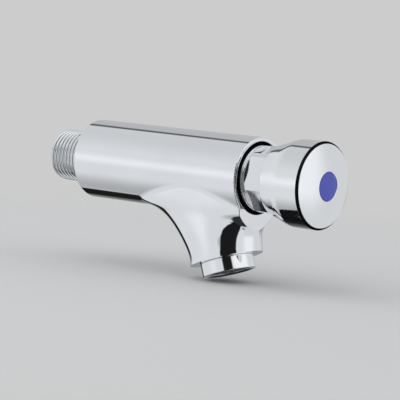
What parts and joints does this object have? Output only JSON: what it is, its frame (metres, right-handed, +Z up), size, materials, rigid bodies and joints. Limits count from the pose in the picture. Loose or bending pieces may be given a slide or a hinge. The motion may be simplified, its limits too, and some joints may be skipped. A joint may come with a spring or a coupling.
{
  "type": "push timed tap",
  "caption": "Wall push tap with a timed valve: tube body, swept spout with tilted aerator, hexagon bonnet, domed push button with round insert, spring-loaded cartridge.",
  "frame": {"origin": "centre of the body's wall face, on the axis of the inlet thread", "axes": "+X out of the wall along the tap's axis to the button, +Z up, the outlet hangs down in the plane y = 0"},
  "size_m": [0.1371, 0.0344, 0.0596],
  "materials": {
    "body_chrome": "polished chrome plate",
    "trim_chrome": "polished chrome plate",
    "button_chrome": "polished chrome plate",
    "aerator_chrome": "polished chrome plate",
    "plated_thread": "nickel plated turned thread",
    "cartridge_brass": "turned brass",
    "stem_steel": "turned stainless steel",
    "filter_steel": "perforated stainless steel",
    "spring_steel": "drawn spring steel",
    "black_rubber": "matt rubber",
    "fibre_seal": "matt fibre",
    "white_plastic": "moulded acetal",
    "grey_plastic": "moulded grid",
    "blue_plastic": "semi-gloss plastic"
  },
  "bodies": {
    "tap": {"tap_body": "body_chrome", "inlet_nipple": "plated_thread", "nipple_seal": "fibre_seal", "inlet_strainer": "filter_steel", "flow_regulator": "white_plastic", "flow_regulator_o_ring": "black_rubber", "cartridge_sleeve": "cartridge_brass", "sleeve_rear_o_ring": "black_rubber", "sleeve_front_o_ring": "black_rubber", "bonnet_nut": "trim_chrome", "bonnet_o_ring": "black_rubber", "stem_guide_bush": "white_plastic", "stem_o_ring": "black_rubber", "bush_circlip": "spring_steel", "return_spring": "spring_steel", "aerator_housing": "aerator_chrome", "aerator_washer": "black_rubber", "aerator_jet_plate": "white_plastic", "aerator_mesh": "grey_plastic"},
    "plunger": {"plunger_stem": "stem_steel", "timing_piston": "white_plastic", "piston_lip_seal": "black_rubber", "timing_needle": "stem_steel", "valve_washer": "black_rubber", "washer_holder": "cartridge_brass", "washer_nut": "cartridge_brass", "button_screw": "stem_steel"},
    "button": {"push_button": "button_chrome", "button_insert": "blue_plastic"}
  },
  "joints": [
    {"name": "plunger_slide", "type": "slide", "parent": "tap", "child": "plunger", "axis": [-1, 0, 0], "range_m": [0, 0.0065], "stiffness_N_per_m": 1200, "springref_m": -0.008, "deforming": ["return_spring"]},
    {"name": "button_turn", "type": "hinge", "parent": "plunger", "child": "button", "pos_m": [0.109, 0, 0], "axis": [1, 0, 0], "continuous": true}
  ]
}
